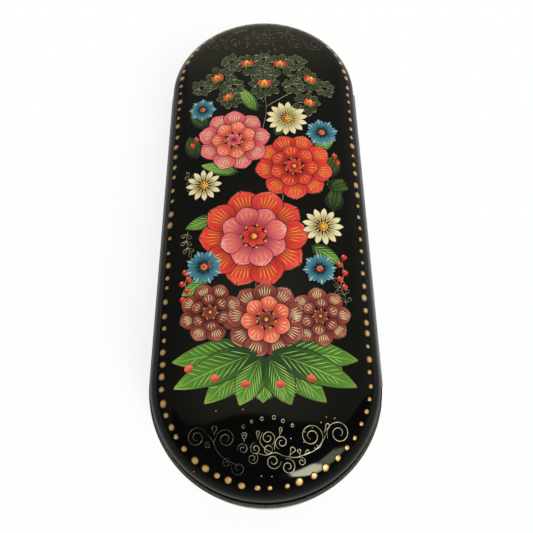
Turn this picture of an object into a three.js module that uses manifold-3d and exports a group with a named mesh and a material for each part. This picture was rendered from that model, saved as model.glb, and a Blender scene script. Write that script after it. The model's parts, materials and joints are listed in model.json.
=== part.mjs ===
// A long oval spectacle case of lacquered papier-mache, with a pillow-shaped lid on one continuous hinge.
// Millimetres, +Z up. The origin is the middle of the underside, Y runs along the case and +X is its hinge
// side. Turning the lid group about its own Y axis opens the case.
import * as THREE from "three";
import { mergeVertices } from "three/addons/utils/BufferGeometryUtils.js";
import Module from "manifold-3d";

const wasm = await Module();
wasm.setup();

// Driving sizes of the base
const caseLength = 168.8;
const caseWidth = 66.6;
const baseHeight = 20;
const baseWallThickness = 5.3;
const boardThickness = 3;
const boardRound = 2.5;
const rimRound = 0.5;

// Driving sizes of the sleeve glued inside the base: its top stands up into the lid and locates it
const sleeveThickness = 1.2;
const lipRise = 2.5;
const lipChamfer = 0.4;

// Driving sizes of the lid
const lidHeight = 12.5;
const lidSetback = 1.3;
const lidWallThickness = 4;
const lidCrownThickness = 3;
const lidSideHeight = 4;
const shoulderWidth = 7;
const shoulderHeight = 6;

// Velvet
const velvetThickness = 0.8;
const floorPadThickness = 1.5;
const velvetBelowSeam = 1.5;
const lidVelvetInset = 2;

// Continuous hinge
const hingeLength = 106;
const knuckleCount = 13;
const barrelRadius = 1;
const pinRadius = 0.4;
const leafThickness = 0.5;
const grooveOverrun = 5;
const leafPinCount = 5;
const leafPinEndInset = 9;
const leafPinRadius = 0.4;
const leafPinLength = 5;
const leafPinInset = 1.5;

// Clearances
const seamGap = 0.3;
const glueGap = 0.3;
const leafGap = 0.1;
const knuckleGap = 0.2;
const boreClearance = 0.1;
const pinholeClearance = 0.2;

// Fineness of the facets
const endSteps = 24;
const domeSteps = 10;
const roundSteps = 4;
const barrelSides = 16;
const pinSides = 10;

// Places worked out from the sizes
const baseRadius = caseWidth / 2;
const halfSpine = caseLength / 2 - baseRadius;
const lidRadius = baseRadius - lidSetback;
const lidBottom = baseHeight + seamGap;
const wallInside = baseRadius - baseWallThickness;
const lidInside = lidRadius - lidWallThickness;
const sleeveOutside = Math.min(wallInside, lidInside) - glueGap;
const sleeveInside = sleeveOutside - sleeveThickness;
const padTop = boardThickness + floorPadThickness;
const velvetOutside = sleeveInside - glueGap;
const hingeX = baseRadius - barrelRadius;
const hingeZ = baseHeight + seamGap / 2;
const boreRadius = pinRadius + boreClearance;
const grooveRadius = barrelRadius + glueGap;
const crownRise = lidHeight - lidSideHeight - shoulderHeight;

// Materials
const blackLacquer = new THREE.MeshStandardMaterial({ color: 0x101014, roughness: 0.12, metalness: 0 });
const redLacquer = new THREE.MeshStandardMaterial({ color: 0x8e1b14, roughness: 0.2, metalness: 0 });
const velvet = new THREE.MeshStandardMaterial({ color: 0x5e0f16, roughness: 0.95, metalness: 0 });
const steel = new THREE.MeshStandardMaterial({ color: 0x8c8c86, roughness: 0.4, metalness: 1 });

// Solids and cuts
function solidOf(geometry) {
  const bare = geometry.index ? geometry.toNonIndexed() : geometry.clone();
  for (const name of Object.keys(bare.attributes)) {
    if (name !== "position") bare.deleteAttribute(name);
  }
  const merged = mergeVertices(bare, 1e-5);
  const vertProperties = merged.attributes.position.array;
  const triVerts = new Uint32Array(merged.index.array);
  return new wasm.Manifold(new wasm.Mesh({ numProp: 3, vertProperties, triVerts }));
}

function geometryOf(solid) {
  const { vertProperties, triVerts } = solid.getMesh();
  const geometry = new THREE.BufferGeometry();
  geometry.setAttribute("position", new THREE.BufferAttribute(vertProperties, 3));
  geometry.setIndex(new THREE.BufferAttribute(triVerts, 1));
  geometry.computeVertexNormals();
  return geometry;
}

function cut(solid, tools) {
  return tools.reduce((left, tool) => left.subtract(tool), solid);
}

function join(solids) {
  return solids.reduce((whole, piece) => whole.add(piece));
}

// One level loop of the oval: a half circle round each end of the spine, anticlockwise seen from above
function ovalLoop(radius, z) {
  const loop = [];
  for (const end of [1, -1]) {
    for (let i = 0; i <= endSteps; i++) {
      const turn = (Math.PI * i) / endSteps;
      const x = radius * Math.cos(turn) * end;
      const y = (halfSpine + radius * Math.sin(turn)) * end;
      loop.push(new THREE.Vector3(x, y, z));
    }
  }
  return loop;
}

// The oval counterpart of a lathe: sweeps a closed outline of (radius, z) points round the oval, going up on
// the outside. A point with no radius lies on the spine.
function ovalSolid(outline) {
  const corners = [];
  const addFace = (a, b, c) => {
    const flat = a.distanceTo(b) < 1e-6 || b.distanceTo(c) < 1e-6 || c.distanceTo(a) < 1e-6;
    if (!flat) corners.push(a, b, c);
  };
  outline.forEach((from, k) => {
    const to = outline[(k + 1) % outline.length];
    if (from.x === 0 && to.x === 0) return;
    const low = ovalLoop(from.x, from.y);
    const high = ovalLoop(to.x, to.y);
    low.forEach((corner, i) => {
      const j = (i + 1) % low.length;
      addFace(corner, low[j], high[j]);
      addFace(corner, high[j], high[i]);
    });
  });
  return solidOf(new THREE.BufferGeometry().setFromPoints(corners));
}

function outlineOf(points) {
  return points.map(([radius, z]) => new THREE.Vector2(radius, z));
}

// A rounded outer corner of an outline, turning from one angle to another
function roundCorner(centreRadius, centreZ, radius, fromDegrees, toDegrees) {
  const points = [];
  for (let i = 0; i <= roundSteps; i++) {
    const turn = THREE.MathUtils.degToRad(fromDegrees + ((toDegrees - fromDegrees) * i) / roundSteps);
    points.push([centreRadius + radius * Math.cos(turn), centreZ + radius * Math.sin(turn)]);
  }
  return points;
}

// Height of the lid's outer surface over the lid's lower edge, at a distance in from the lid's outline
function lidSurface(inset) {
  const onShoulder = Math.min(inset / shoulderWidth, 1);
  const onCrown = Math.min(inset / lidRadius, 1);
  const shoulder = shoulderHeight * Math.sqrt(1 - (1 - onShoulder) ** 2);
  const crown = crownRise * (1 - (1 - onCrown) ** 2);
  return lidSideHeight + shoulder + crown - seamGap;
}

// The same surface moved inwards, square to itself, by a thickness
function underLidSurface(inset, thickness) {
  const step = 0.01;
  const slope = (lidSurface(inset + step) - lidSurface(inset - step)) / (2 * step);
  return lidSurface(inset) - thickness * Math.hypot(1, slope);
}

// Insets from one value to another, closer together near the first, where the shoulder bends most
function insets(from, to) {
  const list = [];
  for (let i = 0; i <= domeSteps; i++) {
    list.push(from + (to - from) * (1 - Math.cos((Math.PI * i) / (2 * domeSteps))));
  }
  return list;
}

function lidOutline() {
  const outer = insets(0, lidRadius).map((inset) => [lidRadius - inset, lidBottom + lidSurface(inset)]);
  const inner = insets(lidWallThickness, lidRadius).map((inset) => [
    lidRadius - inset,
    lidBottom + underLidSurface(inset, lidCrownThickness),
  ]);
  outer.at(-1)[0] = 0;
  inner.at(-1)[0] = 0;
  return outlineOf([[lidInside, lidBottom], [lidRadius, lidBottom], ...outer, ...inner.reverse()]);
}

function lidVelvetOutline() {
  const firstInset = lidWallThickness + lidVelvetInset;
  const depthOf = (thickness) => (inset) => [
    lidRadius - inset,
    lidBottom + underLidSurface(inset, lidCrownThickness + thickness),
  ];
  const top = insets(firstInset, lidRadius).map(depthOf(glueGap));
  const underside = insets(firstInset, lidRadius).map(depthOf(glueGap + velvetThickness));
  top.at(-1)[0] = 0;
  underside.at(-1)[0] = 0;
  return outlineOf([...top, ...underside.reverse()]);
}

function baseWallOutline() {
  return outlineOf([
    [wallInside, boardThickness],
    [baseRadius, boardThickness],
    ...roundCorner(baseRadius - rimRound, baseHeight - rimRound, rimRound, 0, 90),
    [wallInside, baseHeight],
  ]);
}

function boardOutline() {
  return outlineOf([
    [0, 0],
    ...roundCorner(baseRadius - boardRound, boardRound, boardRound, -90, 0),
    [baseRadius, boardThickness],
    [0, boardThickness],
  ]);
}

function sleeveOutline() {
  const top = baseHeight + lipRise;
  return outlineOf([
    [sleeveInside, boardThickness],
    [sleeveOutside, boardThickness],
    [sleeveOutside, top - lipChamfer],
    [sleeveOutside - lipChamfer, top],
    [sleeveInside, top],
  ]);
}

function floorPadOutline() {
  return outlineOf([
    [0, boardThickness],
    [velvetOutside, boardThickness],
    [velvetOutside, padTop],
    [0, padTop],
  ]);
}

function wallVelvetOutline() {
  const bottom = padTop + glueGap;
  const top = baseHeight - velvetBelowSeam;
  const inside = velvetOutside - velvetThickness;
  return outlineOf([
    [inside, bottom],
    [velvetOutside, bottom],
    [velvetOutside, top],
    [inside, top],
  ]);
}

// Round rods along the case and upright, and a box between two corners
function rodAlongY(radius, fromY, toY, sides) {
  const rod = new THREE.CylinderGeometry(radius, radius, toY - fromY, sides);
  rod.translate(0, (fromY + toY) / 2, 0);
  return solidOf(rod);
}

function rodAlongZ(radius, x, y, z1, z2) {
  const rod = new THREE.CylinderGeometry(radius, radius, Math.abs(z2 - z1), pinSides);
  rod.rotateX(Math.PI / 2);
  rod.translate(x, y, (z1 + z2) / 2);
  return solidOf(rod);
}

function block(x1, x2, y1, y2, z1, z2) {
  const box = new THREE.BoxGeometry(Math.abs(x2 - x1), Math.abs(y2 - y1), Math.abs(z2 - z1));
  box.translate((x1 + x2) / 2, (y1 + y2) / 2, (z1 + z2) / 2);
  return solidOf(box);
}

// The hinge's pieces, and the hollows cut for them, have their own origin in the middle of the hinge's axis.
// A side is -1 for the base, below the seam, and +1 for the lid, above it.
const halfHinge = hingeLength / 2;
const knucklePitch = hingeLength / knuckleCount;
const seatZ = seamGap / 2;
const insideX = (side) => (side < 0 ? wallInside : lidInside) - hingeX;
const leafPinX = (side) => insideX(side) + leafPinInset;
const leafPinPlaces = [];
for (let i = 0; i < leafPinCount; i++) {
  leafPinPlaces.push((halfHinge - leafPinEndInset) * ((2 * i) / (leafPinCount - 1) - 1));
}

// A leaf lies flat in the seam, from the inside of the wall to the barrel, with every second knuckle
function hingeLeaf(side) {
  const edgeX = insideX(side) + glueGap;
  let solid = block(edgeX, 0, -halfHinge, halfHinge, side * seatZ, side * (seatZ + leafThickness));
  for (let k = 0; k < knuckleCount; k++) {
    const own = (k % 2 === 0) === side < 0;
    const from = k * knucklePitch - halfHinge;
    const to = from + knucklePitch;
    const firstGap = k > 0 ? knuckleGap / 2 : 0;
    const lastGap = k < knuckleCount - 1 ? knuckleGap / 2 : 0;
    solid = own
      ? solid.add(rodAlongY(barrelRadius, from + firstGap, to - lastGap, barrelSides))
      : solid.subtract(rodAlongY(grooveRadius, from - knuckleGap / 2, to + knuckleGap / 2, barrelSides));
  }
  const holeRadius = leafPinRadius + boreClearance;
  const pastLeaf = side * (seatZ + 2 * leafThickness);
  const holes = leafPinPlaces.map((y) => rodAlongZ(holeRadius, leafPinX(side), y, 0, pastLeaf));
  return cut(solid, [rodAlongY(boreRadius, -hingeLength, hingeLength, barrelSides), ...holes]);
}

function hingePin() {
  return rodAlongY(pinRadius, -halfHinge, halfHinge, pinSides);
}

// A leaf's pin stands upright in the wall with its head flush with the leaf
function leafPin(side, y) {
  return rodAlongZ(leafPinRadius, leafPinX(side), y, side * seatZ, side * (seatZ + leafPinLength));
}

// What a wall loses to the hinge: the groove round the barrel, the leaf's seat and the pins' holes. The
// groove runs on past the barrel in the base's ledge.
function hingeHollow(side) {
  const halfGroove = halfHinge + (side < 0 ? grooveOverrun : glueGap);
  const halfSeat = halfHinge + glueGap;
  const seatEnd = side * (seatZ + leafThickness + leafGap);
  const holeEnd = side * (seatZ + leafPinLength + pinholeClearance);
  const holeRadius = leafPinRadius + pinholeClearance;
  return join([
    rodAlongY(grooveRadius, -halfGroove, halfGroove, barrelSides),
    block(insideX(side) - glueGap, 0, -halfSeat, halfSeat, 0, seatEnd),
    ...leafPinPlaces.map((y) => rodAlongZ(holeRadius, leafPinX(side), y, 0, holeEnd)),
  ]).translate([hingeX, 0, hingeZ]);
}

// The scene graph: the base's pieces in the case's frame, the lid's and the hinge's round the hinge's axis
const eyeglassCase = new THREE.Group();
const baseGroup = new THREE.Group();
const baseHingeGroup = new THREE.Group();
const lidGroup = new THREE.Group();
baseHingeGroup.position.set(hingeX, 0, hingeZ);
lidGroup.position.set(hingeX, 0, hingeZ);
baseGroup.add(baseHingeGroup);
eyeglassCase.add(baseGroup, lidGroup);

function addPiece(group, name, solid, material) {
  const mesh = new THREE.Mesh(geometryOf(solid), material);
  mesh.name = name;
  group.add(mesh);
}

function addLidPiece(name, solid, material) {
  addPiece(lidGroup, name, solid.translate([-hingeX, 0, -hingeZ]), material);
}

addPiece(baseGroup, "base_bottom_board", ovalSolid(boardOutline()), blackLacquer);
addPiece(baseGroup, "base_wall", ovalSolid(baseWallOutline()).subtract(hingeHollow(-1)), blackLacquer);
addPiece(baseGroup, "base_inner_sleeve", ovalSolid(sleeveOutline()), redLacquer);
addPiece(baseGroup, "base_floor_pad", ovalSolid(floorPadOutline()), velvet);
addPiece(baseGroup, "base_wall_velvet", ovalSolid(wallVelvetOutline()), velvet);
addLidPiece("lid_shell", ovalSolid(lidOutline()).subtract(hingeHollow(1)), blackLacquer);
addLidPiece("lid_velvet", ovalSolid(lidVelvetOutline()), velvet);

addPiece(baseHingeGroup, "hinge_base_leaf", hingeLeaf(-1), steel);
addPiece(baseHingeGroup, "hinge_pin", hingePin(), steel);
addPiece(lidGroup, "hinge_lid_leaf", hingeLeaf(1), steel);
leafPinPlaces.forEach((y, i) => {
  addPiece(baseHingeGroup, `base_leaf_pin_${i + 1}`, leafPin(-1, y), steel);
  addPiece(lidGroup, `lid_leaf_pin_${i + 1}`, leafPin(1, y), steel);
});

export default eyeglassCase;
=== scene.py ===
"""A lacquered papier-mache spectacle case with a gold dot border, gold scrollwork and painted flowers.

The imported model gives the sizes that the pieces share, and the settings below hold the rest. Sizes of the
drawing on the lid are in millimetres, with x across the case and y along it. Everything else is in metres.
"""

import json
import math
import random
from functools import partial

import bmesh
import bpy
from bpy.props import FloatProperty, FloatVectorProperty, IntProperty, PointerProperty
from mathutils import Matrix, Vector


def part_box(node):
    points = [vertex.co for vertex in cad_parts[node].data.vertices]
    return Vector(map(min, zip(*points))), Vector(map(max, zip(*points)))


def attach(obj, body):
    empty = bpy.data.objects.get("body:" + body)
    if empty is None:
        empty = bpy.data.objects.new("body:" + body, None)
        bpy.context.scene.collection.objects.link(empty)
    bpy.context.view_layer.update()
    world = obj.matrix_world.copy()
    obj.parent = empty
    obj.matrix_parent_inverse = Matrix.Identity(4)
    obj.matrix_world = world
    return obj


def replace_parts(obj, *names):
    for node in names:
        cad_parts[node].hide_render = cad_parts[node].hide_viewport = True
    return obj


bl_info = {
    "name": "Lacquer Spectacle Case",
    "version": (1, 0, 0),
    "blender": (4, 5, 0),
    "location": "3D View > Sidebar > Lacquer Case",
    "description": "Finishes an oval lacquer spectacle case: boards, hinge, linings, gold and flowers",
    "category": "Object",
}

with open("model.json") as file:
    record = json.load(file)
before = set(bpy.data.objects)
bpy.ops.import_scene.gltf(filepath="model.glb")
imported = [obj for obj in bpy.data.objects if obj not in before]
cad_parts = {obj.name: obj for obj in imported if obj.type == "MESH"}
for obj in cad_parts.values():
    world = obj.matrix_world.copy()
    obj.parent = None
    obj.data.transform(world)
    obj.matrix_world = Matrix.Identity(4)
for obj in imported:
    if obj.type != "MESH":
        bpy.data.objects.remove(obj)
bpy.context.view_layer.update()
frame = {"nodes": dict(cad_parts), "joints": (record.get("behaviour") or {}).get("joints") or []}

MM = 0.001
UP = Vector((0, 0, 1))

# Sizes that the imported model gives
LID_LOW, LID_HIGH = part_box("lid_shell")
WALL_LOW, WALL_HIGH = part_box("base_wall")
SLEEVE_LOW, SLEEVE_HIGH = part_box("base_inner_sleeve")
PAD_LOW, PAD_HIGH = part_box("base_floor_pad")
BAND_LOW, BAND_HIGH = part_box("base_wall_velvet")
PIN_LOW, PIN_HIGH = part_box("hinge_pin")
LEAF_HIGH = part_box("hinge_base_leaf")[1]
BOARD_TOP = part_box("base_bottom_board")[1].z
LINING_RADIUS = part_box("lid_velvet")[1].x
HINGE = Vector(frame["joints"][0]["pos_m"])
SEAM = WALL_HIGH.z
LID_RADIUS = -LID_LOW.x
BASE_RADIUS = -WALL_LOW.x
HALF_SPINE = LID_HIGH.y - LID_RADIUS
SEAM_GAP = LID_LOW.z - SEAM
BARREL_RADIUS = LEAF_HIGH.x - HINGE.x
HALF_HINGE = LEAF_HIGH.y

# Edges that bend by more degrees than this are sharp; on gold paint only far sharper ones are
SHARP, PAINT_SHARP = 38, 80
# Points of a mesh nearer than this are one
MERGE = MM / 1000


def linear(code):
    """The linear colour of an sRGB hex value"""
    channels = [int(code[i : i + 2], 16) / 255 for i in (1, 3, 5)]
    return tuple(c / 12.92 if c <= 0.04045 else ((c + 0.055) / 1.055) ** 2.4 for c in channels)


def length(name, description, millimetres):
    """A size that a user may change"""
    return FloatProperty(
        name=name, description=description, default=millimetres * MM, min=0, precision=5, unit="LENGTH"
    )


def colour(name, description, code):
    """A colour that a user may change"""
    return FloatVectorProperty(
        name=name, description=description, default=linear(code), min=0, max=1, size=3, subtype="COLOR"
    )


def number(name, description, value):
    """A plain number that a user may change"""
    return FloatProperty(name=name, description=description, default=value)


def angle(name, description, degrees):
    """An angle that a user may change"""
    return FloatProperty(name=name, description=description, default=math.radians(degrees), subtype="ANGLE")


class CaseShellSettings(bpy.types.PropertyGroup):
    """The lacquered boards of the case"""

    side_height: length("Lid Side", "Upright part of the lid's side, from the seam", 4)
    shoulder_width: length("Shoulder Width", "Width of the lid's rounded shoulder", 7)
    shoulder_height: length("Shoulder Height", "Height of the lid's rounded shoulder", 6)
    lid_wall: length("Lid Wall", "Thickness of the lid's side", 4)
    lid_crown: length("Lid Crown", "Thickness of the lid's top", 3)
    base_wall: length("Base Wall", "Thickness of the base's side", 5.3)
    lid_arris: length("Lid Arris", "Rounding of the lid's lower edge", 0.35)
    base_rim: length("Base Rim", "Rounding of the base's upper edge", 0.5)
    foot_round: length("Foot Rounding", "Rounding round the underside", 2.5)
    lip_thickness: length("Lip Thickness", "Thickness of the sleeve inside the base", 1.2)
    lip_chamfer: length("Lip Rounding", "Rounding of the sleeve's upper edge", 0.4)
    lacquer: colour("Black Lacquer", "Body of the black lacquer", "#070705")
    lacquer_depth: colour("Lacquer Depth", "Blue tinge deep in the black lacquer", "#06070B")
    varnish: colour("Varnish", "Yellow tinge of the aged clear varnish over the black lacquer", "#FFFDDA")
    rubbed: colour("Rubbed Lacquer", "Grey of the lacquer where the base's rim is rubbed dull", "#4C4A3E")
    red_lacquer: colour("Red Lacquer", "Lacquer inside the case", "#8E1B14")


class HingeSettings(bpy.types.PropertyGroup):
    """The continuous hinge"""

    knuckles: IntProperty(name="Knuckles", description="Knuckles of both leaves together", default=13, min=3)
    leaf: length("Leaf Thickness", "Thickness of a hinge leaf", 0.5)
    knuckle_gap: length("Knuckle Gap", "Gap between two knuckles", 0.2)
    clearance: length("Clearance", "Room round the barrel in its groove", 0.3)
    leaf_room: length("Leaf Room", "Room above a leaf in its seat", 0.1)
    groove_overrun: length("Groove Overrun", "How far the base's groove runs on past the barrel", 5)
    pin: length("Pin Radius", "Radius of the hinge's pin and of the leaves' pins", 0.4)
    steel: colour("Steel", "Dull plated steel", "#A6A6A0")


class LiningSettings(bpy.types.PropertyGroup):
    """The velvet linings"""

    pile: length("Velvet Thickness", "Thickness of the velvet with its card", 0.8)
    edge: length("Pad Edge", "Height of the floor pad at its edge", 0.8)
    crown_width: length("Pad Crown Width", "Width over which the floor pad rises", 9)
    velvet: colour("Velvet", "Dark red cotton velvet", "#5E0F16")
    nap: colour("Nap", "Tips of the pile, seen aslant", "#A0323A")


class GoldSettings(bpy.types.PropertyGroup):
    """Gold paint on the lid"""

    dot_small: length("Smallest Dot", "Diameter of the smallest border dots", 1.3)
    dot_large: length("Largest Dot", "Diameter of the largest border dots", 2.2)
    dot_height: length("Dot Height", "How far a dot stands up from the lid", 0.2)
    line: length("Line", "Width of a scrollwork line", 0.17)
    paint: length("Paint", "Thickness of a dab of tempera", 0.14)
    gold: colour("Gold", "Bronze powder paint of the dots", "#D2A85E")
    # Painted shade at the rim of each gold dot
    gold_rim_shade: colour("Gold Rim", "Rim of a dot, where the paint is thin", "#5E4018")
    pale_gold: colour("Pale Gold", "Gold paint of the fine lines", "#DAD2A4")
    thin_gold: colour("Thin Gold", "Fine lines where the gold is rubbed thin", "#3C3A26")


class StudioSettings(bpy.types.PropertyGroup):
    """Camera, floor and light"""

    lens: number("Lens", "Focal length in millimetres on a 36 mm sensor", 37.15)
    distance: length("Distance", "From the camera to the point that it turns about", 172.3)
    aim_x: number("Aim Across", "Point that the camera turns about, across the case, in millimetres", 0.58)
    aim_y: number("Aim Along", "Point that the camera turns about, along the case, in millimetres", -15.0)
    elevation: angle("Elevation", "Height of the camera over the seam", 65.03)
    azimuth: angle("Azimuth", "Turn of the camera round the case", 0.615)
    roll: angle("Roll", "Turn of the camera about its own axis", -1.2)
    floor: colour("Floor", "Matt pale floor", "#FBFAF8")
    floor_radius: length("Floor Radius", "Radius of the floor", 3000)
    floor_white: number("Floor White", "Share of plain white in how the floor shows", 0.85)
    room: number("Room", "Brightness of the room all round", 0.32)
    ceiling: number("Ceiling", "Added brightness of the ceiling above the case", 0.44)
    wall: number("Wall", "Added brightness of the lit wall beyond the far end", 0.6)
    shade: number("Shade", "Brightness of the dark corner behind the camera", 0.02)
    window: number("Window", "Brightness of the window's clear pane", 26)
    blind: number("Blind", "Brightness of the window's other pane", 5)


class CaseSettings(bpy.types.PropertyGroup):
    """All settings of the case"""

    shell: PointerProperty(type=CaseShellSettings)
    hinge: PointerProperty(type=HingeSettings)
    lining: PointerProperty(type=LiningSettings)
    gold: PointerProperty(type=GoldSettings)
    studio: PointerProperty(type=StudioSettings)


def settings():
    """The settings of the case in this file"""
    return bpy.context.scene.spectacle_case


# Materials


def per_mm(millimetres):
    """The scale of a pattern whose features are this far apart, on coordinates in metres"""
    return 1 / (millimetres * MM)


def toned(tint, share):
    """A colour made darker or lighter by a share"""
    return tuple(share * channel for channel in tint)


def add_node(tree, kind, inputs=None, stops=(), **options):
    """Adds a node with its options, inputs and colour stops. An input is a plain value, a socket that feeds
    it, or a node, which stands for its first output."""
    node = tree.nodes.new("ShaderNode" + kind)
    for option, value in options.items():
        setattr(node, option, value)
    for name, value in (inputs or {}).items():
        if isinstance(value, bpy.types.Node):
            value = value.outputs[0]
        if isinstance(value, bpy.types.NodeSocket):
            tree.links.new(value, node.inputs[name])
        else:
            node.inputs[name].default_value = value
    for i, (place, tint) in enumerate(stops):
        elements = node.color_ramp.elements
        element = elements[i] if i < len(elements) else elements.new(place)
        element.position = place
        element.color = (*tint[:3], 1)
    return node


def start_material(name):
    """Starts a material, and gives what adds a node to it and the place on the piece in metres"""
    material = bpy.data.materials.new(name)
    material.use_nodes = True
    material.node_tree.nodes.clear()
    add = partial(add_node, material.node_tree)
    return add, add("TexCoord").outputs["Object"]


def finish_material(add, surface, bumps=None, depth=0):
    """Ends a material with the inputs of its Principled shader and any bumps, with a depth in millimetres"""
    if bumps:
        surface["Normal"] = add("Bump", {"Height": bumps, "Distance": depth * MM})
    add("OutputMaterial", {"Surface": add("BsdfPrincipled", surface)})


# Black lacquer from the lid's outline inwards, as hands have dulled it: its index of refraction by its name,
# and the insets in millimetres at which the next one begins
LID_LACQUERS = {
    "Hand-dulled black lacquer": 1.12,
    "Handled black lacquer": 1.18,
    "Lightly handled black lacquer": 1.24,
    "Polished black lacquer": 1.3,
}
LACQUER_INSETS = (2.0, 2.9, 3.9)

# Heights over the seam in millimetres between which the gloss softens, going down
GLOSSY_FROM, DULL_FROM = 8.6, 5

SOFT_STEP = {"interpolation_type": "SMOOTHSTEP"}


def black_lacquer(name, index, dulling=0.3):
    """Papier-mache under many coats of black lacquer, rubbed flat and polished: a mirror gloss on top with a
    slight waviness, fine rubbing marks and a blue tinge, going over to a softer gloss where hands have dulled
    the sides. The indices are low for a varnish, lowest at the lid's edge, because the real one mirrors
    little."""
    shell = settings().shell
    add, place = start_material(name)
    cloud = add("TexNoise", {"Vector": place, "Scale": per_mm(22)})
    body = add("ValToRGB", {"Fac": cloud}, [(0.35, shell.lacquer), (0.75, shell.lacquer_depth)])
    rub = add("TexNoise", {"Vector": place, "Scale": per_mm(0.5), "Detail": 4.0})
    marks = {"From Min": 0.3, "From Max": 0.7, "To Min": 0.035, "To Max": 0.085}
    gloss = add("MapRange", {"Value": rub, **marks})
    height = add("SeparateXYZ", {"Vector": place}).outputs["Z"]
    top, side = SEAM + GLOSSY_FROM * MM, SEAM + DULL_FROM * MM
    downwards = {"From Min": top, "From Max": side, "To Max": dulling}
    satin = add("MapRange", {"Value": height, **downwards}, **SOFT_STEP)
    roughness = add("Math", {0: gloss, 1: satin}, operation="ADD")
    wave = add("TexNoise", {"Vector": place, "Scale": per_mm(16), "Detail": 1.0})
    surface = {"Base Color": body, "Roughness": roughness, "IOR": index, "Specular Tint": (*shell.varnish, 1)}
    finish_material(add, surface, wave, 0.06)


# Depth below the seam over which the base's rim is rubbed, and reach past the lid's outline over which a
# painted seam shadow fades into it, in millimetres
RUBBED_DEPTH, SEAM_SHADOW_REACH = (0.9, 0.1), (0.35, 0.65)


def rubbed_lacquer():
    """The same black lacquer on the base, less polished and rubbed dull and grey along the rim by years of
    opening: a satin gloss below and a matt, olive-grey edge, kept black against the lid as a painted seam
    shadow"""
    shell = settings().shell
    add, place = start_material("Rubbed black lacquer")
    x, y, z = add("SeparateXYZ", {"Vector": place}).outputs
    low, high = (SEAM - depth * MM for depth in RUBBED_DEPTH)
    edge = add("MapRange", {"Value": z, "From Min": low, "From Max": high}, **SOFT_STEP)
    beside = add("Math", {0: y}, operation="ABSOLUTE")
    past = add("Math", {0: beside, 1: HALF_SPINE}, operation="SUBTRACT")
    past = add("Math", {0: past, 1: 0.0}, operation="MAXIMUM")
    flat = add("CombineXYZ", {"X": x, "Y": past})
    reach = add("VectorMath", {0: flat}, operation="LENGTH").outputs["Value"]
    # The line against the lid stays dark: a painted shadow of the seam under the lid's edge
    near, far = (LID_RADIUS + extra * MM for extra in SEAM_SHADOW_REACH)
    past_seam_shadow = add("MapRange", {"Value": reach, "From Min": near, "From Max": far})
    scuffs = add("TexNoise", {"Vector": place, "Scale": per_mm(1.1), "Detail": 4.0})
    worn = add("MapRange", {"Value": scuffs, "From Min": 0.3, "From Max": 0.6, "To Min": 0.55})
    share = add("Math", {0: past_seam_shadow, 1: edge}, operation="MULTIPLY")
    share = add("Math", {0: share, 1: worn}, operation="MULTIPLY")
    body = add("ValToRGB", {"Fac": share}, [(0.0, shell.lacquer), (1.0, shell.rubbed)])
    gloss = add("MapRange", {"Value": share, "To Min": 0.25, "To Max": 0.55})
    finish_material(add, {"Base Color": body, "Roughness": gloss, "IOR": 1.15}, scuffs, 0.03)


def red_lacquer():
    """Papier-mache under red lacquer, brushed and not rubbed down: a soft gloss with faint brush marks"""
    red = settings().shell.red_lacquer
    add, place = start_material("Brushed red lacquer")
    long_way = add("Mapping", {"Vector": place, "Scale": (1, 0.08, 1)})
    marks = add("TexNoise", {"Vector": long_way, "Scale": per_mm(0.6), "Detail": 3.0})
    body = add("ValToRGB", {"Fac": marks}, [(0.3, toned(red, 0.6)), (0.7, red)])
    finish_material(add, {"Base Color": body, "Roughness": 0.24, "IOR": 1.5, "Coat Weight": 0.4}, marks, 0.02)


def cotton_velvet():
    """Short-pile cotton velvet: dark face on, paler aslant, with the nap brushed this way and that"""
    lining = settings().lining
    velvet = lining.velvet
    add, place = start_material("Cotton velvet")
    brushed = add("TexNoise", {"Vector": place, "Scale": per_mm(14), "Detail": 3.0})
    tones = [(0.3, toned(velvet, 0.55)), (0.55, velvet), (0.75, toned(velvet, 1.5))]
    body = add("ValToRGB", {"Fac": brushed}, tones)
    tufts = add("TexNoise", {"Vector": place, "Scale": per_mm(0.45)})
    surface = {
        "Base Color": body,
        "Roughness": 0.95,
        "Specular IOR Level": 0.15,
        "Sheen Weight": 0.8,
        "Sheen Roughness": 0.35,
        "Sheen Tint": (*lining.nap, 1),
    }
    finish_material(add, surface, tufts, 0.35)


def plated_steel():
    """Rolled steel with a dull plating, rubbed along the hinge into darker and lighter streaks"""
    steel = settings().hinge.steel
    add, place = start_material("Plated steel")
    along = add("Mapping", {"Vector": place, "Scale": (1, 0.06, 1)})
    streaks = add("TexNoise", {"Vector": along, "Scale": per_mm(0.35), "Detail": 3.0})
    body = add("ValToRGB", {"Fac": streaks}, [(0.25, toned(steel, 0.5)), (0.65, steel)])
    gloss = add("MapRange", {"Value": streaks, "To Min": 0.3, "To Max": 0.55})
    finish_material(add, {"Base Color": body, "Roughness": gloss, "Metallic": 1.0})


def bronze_paint(name, tint, rim_shade_and_wear_tint):
    """Bronze powder in varnish, laid thick: half metal and half paint, with a grain, and darker by the rim
    share: painted shade at a drop's edge, and gold rubbed thin on the lines
    """
    add, place = start_material(name)
    grain = add("TexNoise", {"Vector": place, "Scale": per_mm(0.3), "Detail": 3.0})
    rim = add("Attribute", attribute_name="rim").outputs["Fac"]
    mixed = add("Math", {0: grain, 1: 0.75, 2: rim}, operation="MULTIPLY_ADD")
    middle = tuple(0.62 * a + 0.38 * b for a, b in zip(tint, rim_shade_and_wear_tint))
    body = add("ValToRGB", {"Fac": mixed}, [(0.36, tint), (0.72, middle), (1.0, rim_shade_and_wear_tint)])
    surface = {"Base Color": body, "Metallic": 0.3, "Roughness": 0.42}
    finish_material(add, {**surface, "Coat Weight": 0.3, "Coat Roughness": 0.12}, grain, 0.04)


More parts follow.
